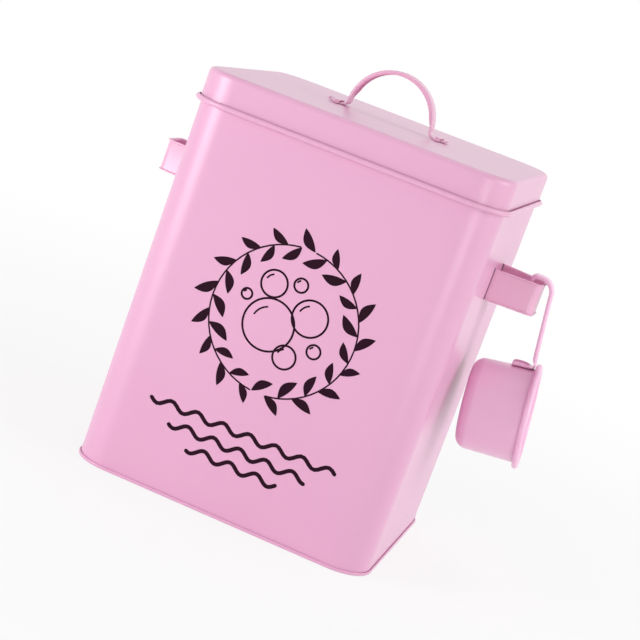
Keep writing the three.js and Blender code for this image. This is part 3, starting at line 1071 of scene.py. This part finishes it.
@dataclass
class FrontPrint(Sizes):
    """Generic one-colour print: a leafy wreath round soap bubbles, with a ribbon of waves below.

    Each motif is a thin slab of ink on the flat front, as (x, z) outlines pushed back into depth.
    Where motifs cross, their slabs are joined into one. `bubbles` holds (x, z, radius) from the
    wreath's middle, and `waves` holds (half length, z).
    """

    ink: float = 0.06
    ink_back: float = 0.005
    centre: tuple[float, float] = (0.0, 131.0)
    radius: float = 47.0
    leaves: int = 34
    leaf: float = 15.0
    leaf_half: float = 0.19
    leaf_bow: float = 0.1
    leaf_tilt: float = 0.75
    twig: float = 1.0
    twig_starts: Stations = (96.0, 180.0, 276.0, 360.0)
    twig_turn: float = 84.0
    bubble_line: float = 1.3
    gleam_line: float = 1.1
    gleam_share: float = 0.68
    wave_line: float = 2.6
    wave_height: float = 2.4
    wave_scale: float = 7 * np.pi / 62.0
    bubbles: tuple[Point, ...] = (
        (-8, -5, 17), (15, 8, 12), (8, -20, 8), (-13, 20, 9), (3, 25, 5), (24, -10, 5), (-27, 8, 4)
    )
    waves: tuple[tuple[float, float], ...] = ((62.0, 56.0), (46.0, 45.0), (30.0, 34.5))
    window: tuple[float, float, float] = (90.0, 10.0, 230.0)
    points: list[Array] = field(default_factory=list)
    faces: list[list[int]] = field(default_factory=list)

    def slab(self, outer: Array, inner: Array | None = None) -> None:
        """Adds a slab: a filled outline, or the band between two outlines of equal length.

        Args:
            outer: The outline's (x, z) points, in either order.
            inner: The band's inner outline, point for point beside the outer one.
        """
        x, z = outer.T
        if x @ np.roll(z, -1) < z @ np.roll(x, -1):
            outer, inner = outer[::-1], None if inner is None else inner[::-1]
        start, n = sum(len(p) for p in self.points), len(outer)
        rims = [outer] if inner is None else [outer, inner]
        for thick in (self.ink, self.ink_back):
            y = np.full(n, -self.depth / 2 - thick)
            self.points += [np.column_stack([rim[:, 0], y, rim[:, 1]]) for rim in rims]
        i, back = np.arange(n), n * len(rims)
        j = (i + 1) % n
        walls = [(j, i, back + i, back + j)]
        if inner is None:
            self.faces += [(start + i).tolist(), (start + back + i[::-1]).tolist()]
        else:
            bands = [(i, j, n + j, n + i), (back + j, back + i, back + n + i, back + n + j)]
            walls = [*bands, *walls, (n + i, n + j, n + back + j, n + back + i)]
        for wall in walls:
            self.faces += (start + np.stack(wall, 1)).tolist()

    def leaf_outline(self, x: float, z: float, turn: float, length: float) -> Array:
        """A pointed leaf.

        With t from 0 to 1 along it, its middle line is bowed by a share of its length times
        sin(pi t), and its half width is another share times sin(pi t) ** 0.9.

        Args:
            x: Where its stem is.
            z: Where its stem is.
            turn: Which way it points, in radians.
            length: Its length.

        Returns:
            Array of (x, z) points.
        """
        t = np.linspace(0, 1, 13)
        half = self.leaf_half * length * np.sin(np.pi * t) ** 0.9
        bow = self.leaf_bow * length * np.sin(np.pi * t)
        upper, lower = np.stack([t * length, bow + half], 1), np.stack([t * length, bow - half], 1)
        c, s = np.cos(turn), np.sin(turn)
        return np.array([x, z]) + np.concatenate([upper, lower[-2:0:-1]]) @ np.array([[c, s], [-s, c]])

    def curve(self, x: float, z: float, radius: float, line: float, start: float, stop: float) -> None:
        """Adds a drawn arc of the given line, from start to stop in degrees, with square ends."""
        outer, inner = arc(x, z, radius, start, stop, 14), arc(x, z, radius - line, stop, start, 14)
        self.slab(np.concatenate([outer, inner]))

    def draw(self) -> None:
        """Draws the wreath, the bubbles and the waves."""
        cx, cz = self.centre
        rng = np.random.default_rng(7)
        for k in range(self.leaves):
            turn = 2 * np.pi * k / self.leaves
            out = -1 if k % 2 else 1
            x, z = cx + self.radius * np.cos(turn), cz + self.radius * np.sin(turn)
            tilt = turn + np.pi / 2 - out * self.leaf_tilt
            self.slab(self.leaf_outline(x, z, tilt, self.leaf * rng.uniform(0.85, 1.1)))
        for start in self.twig_starts:
            self.curve(cx, cz, self.radius + self.twig / 2, self.twig, start, start + self.twig_turn)
        for dx, dz, r in self.bubbles:
            x, z = cx + dx, cz + dz
            self.slab(*(arc(x, z, edge, 0, 352.5, 47) for edge in (r, r - self.bubble_line)))
            self.curve(x, z, r * self.gleam_share, self.gleam_line, 110, 165)
        for row, (length, z) in enumerate(self.waves):
            x = np.linspace(-length, length, 60)
            wave = self.wave_height * np.sin(x * self.wave_scale + row)
            self.slab(sheet_outline(np.stack([cx + x, z + wave], 1), self.wave_line, 4))

    def build(self, shop: Workshop) -> None:
        """Builds and dresses the print.

        Args:
            shop: Where the piece is finished.
        """
        self.draw()
        piece = make_mesh("front_print", np.concatenate(self.points), self.faces, PRINT_SHARP)
        near, far = -self.depth / 2 - 1.0, -self.depth / 2 + 1.0
        half, low, high = self.window
        frame = np.array([(near, low), (far, low), (far, high), (near, high)])
        cut(piece, *prisms([frame], -half, half), Keep.WITHIN, PRINT_SHARP)
        shop.finish_piece(piece, PRINT_INK, "tin")


# Studio


@dataclass(frozen=True)
class Lamp:
    """A square soft lamp: its place and aim in metres, its side's length and its power in watts."""

    name: str
    place: Point
    size: float
    power: float
    aim: Point = (0.0, 0.0, 0.13)
    mirrored: bool = True

    def build(self) -> None:
        """Adds the lamp. The enamel mirrors it only where `mirrored` says so."""
        data = bpy.data.lights.new(self.name, "AREA")
        data.size, data.energy = self.size, self.power
        made = add_object(self.name, data)
        made.visible_glossy = self.mirrored
        way = (Vector(self.aim) - Vector(self.place)).to_track_quat("-Z", "Y")
        made.matrix_world = Matrix.Translation(self.place) @ way.to_matrix().to_4x4()


LAMPS = (
    Lamp("key_softbox", (-0.92, -0.85, 0.3), 0.6, 9.0),
    Lamp("side_softbox", (1.5, -0.1, 0.7), 1.0, 10.5),
    Lamp("top_softbox", (0.1, 0.2, 1.6), 1.0, 3.5),
    Lamp("front_fill", (0.8, -0.9, 0.1), 0.4, 2.4, aim=(0.14, 0.0, 0.1)),
    Lamp("back_panel", (0.1, 1.6, 0.5), 1.2, 6.0, mirrored=False),
)


@dataclass
class Studio:
    """Camera, lamps, white surroundings and the pale floor.

    The eye and the axes were fitted to the photograph's view, as was the focal length in pixels.
    The sensor's width is in millimetres, and the other sizes are in metres.
    """

    focal_px: float = 1777.1
    frame_px: float = 640.0
    sensor: float = 36.0
    far: float = 20.0
    eye: Point = (0.2228, -1.1211, 0.3444)
    forward: Point = (-0.1891, 0.9633, -0.1907)
    right: Point = (0.9089, 0.2452, 0.3374)
    level: float = 0.4
    floor_half: float = 6.0
    floor_z: float = -0.00015
    floor_near: float = 0.2
    floor_far: float = 0.9
    near_white: float = 0.8

    def camera(self) -> None:
        """Sets the camera from the fitted eye and axes. Its lens is worked out for a square frame 640
        pixels wide.
        """
        data = bpy.data.cameras.new("camera")
        data.sensor_width = self.sensor
        data.lens = self.sensor * self.focal_px / self.frame_px
        data.clip_end = self.far
        made = add_object("camera", data)
        ahead, right = Vector(self.forward).normalized(), Vector(self.right)
        across = (right - ahead * ahead.dot(right)).normalized()
        axes = Matrix((across, across.cross(ahead), -ahead)).transposed()
        made.matrix_world = Matrix.Translation(self.eye) @ axes.to_4x4()
        bpy.context.scene.camera = made

    def seen(self, tree: NodeTree) -> NodeSocket:
        """One where a camera, glossy or transmission ray looks, and nought for other rays.

        Args:
            tree: The world's or a material's tree.

        Returns:
            The socket that gives it.
        """
        path = tree.nodes.new("ShaderNodeLightPath")
        total = path.outputs["Is Camera Ray"]
        for label in ("Is Glossy Ray", "Is Transmission Ray"):
            total = math_node(tree, "MAXIMUM", total, path.outputs[label])
        return total

    def world(self) -> None:
        """White surroundings: plain white where they are seen, and a softer level as light."""
        world = bpy.data.worlds.new("studio")
        world.use_nodes = True
        bpy.context.scene.world = world
        tree, link = world.node_tree, world.node_tree.links.new
        tree.nodes.clear()
        soft, plain = tree.nodes.new("ShaderNodeBackground"), tree.nodes.new("ShaderNodeBackground")
        set_inputs(soft, {"Color": (1.0, 0.99, 0.99, 1.0), "Strength": self.level})
        set_inputs(plain, {"Color": WHITE, "Strength": 1.0})
        mix, out = tree.nodes.new("ShaderNodeMixShader"), tree.nodes.new("ShaderNodeOutputWorld")
        link(self.seen(tree), mix.inputs["Fac"])
        link(soft.outputs[0], mix.inputs[1])
        link(plain.outputs[0], mix.inputs[2])
        link(mix.outputs[0], out.inputs["Surface"])

    def paper(self) -> Material:
        """The floor's finish, which melts into the white surroundings with distance.

        The share of plain white eases from `near_white` to one between its two distances.

        Returns:
            The node material.
        """
        paper = bpy.data.materials.new("pale_floor")
        paper.use_nodes = True
        tree, link = paper.node_tree, paper.node_tree.links.new
        shader = tree.nodes["Principled BSDF"]
        set_inputs(shader, {"Base Color": (0.9, 0.9, 0.9, 1.0), "Roughness": 0.9})
        glow, mix = tree.nodes.new("ShaderNodeEmission"), tree.nodes.new("ShaderNodeMixShader")
        set_inputs(glow, {"Color": WHITE, "Strength": 1.0})
        away = tree.nodes.new("ShaderNodeVectorMath")
        away.operation = "LENGTH"
        fade = tree.nodes.new("ShaderNodeMapRange")
        fade.interpolation_type = "SMOOTHSTEP"
        set_inputs(fade, {"From Min": self.floor_near, "From Max": self.floor_far})
        set_inputs(fade, {"To Min": self.near_white, "To Max": 1.0})
        link(tree.nodes.new("ShaderNodeTexCoord").outputs["Object"], away.inputs[0])
        link(away.outputs["Value"], fade.inputs["Value"])
        share = math_node(tree, "MULTIPLY", self.seen(tree), fade.outputs["Result"])
        link(share, mix.inputs["Fac"])
        link(shader.outputs[0], mix.inputs[1])
        link(glow.outputs[0], mix.inputs[2])
        link(mix.outputs[0], tree.nodes["Material Output"].inputs["Surface"])
        return paper

    def floor(self) -> None:
        """A pale floor, a grid of 8 by 8 squares just under the tin, that keeps a faint shadow."""
        grid = np.linspace(-self.floor_half, self.floor_half, 9)
        x, y = np.meshgrid(grid, grid, indexing="ij")
        points = np.stack([x.ravel(), y.ravel(), np.full(x.size, self.floor_z)], 1)
        index = np.arange(x.size).reshape(x.shape)
        quads = np.stack([index[:-1, :-1], index[1:, :-1], index[1:, 1:], index[:-1, 1:]], -1)
        mesh = bpy.data.meshes.new("floor")
        mesh.from_pydata(points.tolist(), [], quads.reshape(-1, 4).tolist())
        mesh.materials.append(self.paper())
        add_object("floor", mesh)

    def build(self) -> None:
        """Sets up the whole studio."""
        self.camera()
        self.world()
        self.floor()
        for lamp in LAMPS:
            lamp.build()
        bpy.context.scene.view_settings.view_transform = "Standard"


def main() -> None:
    """Builds the studio and every piece."""
    logging.basicConfig(level=logging.INFO, format="%(message)s")
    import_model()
    Studio().build()
    shop = Workshop()
    Tin().build(shop)
    Lid().build(shop)
    for side in Side:
        SideHandle(side=side).build(shop)
    LidHandle().build(shop)
    Scoop().build(shop)
    FrontPrint().build(shop)


if __name__ == "__main__":
    main()
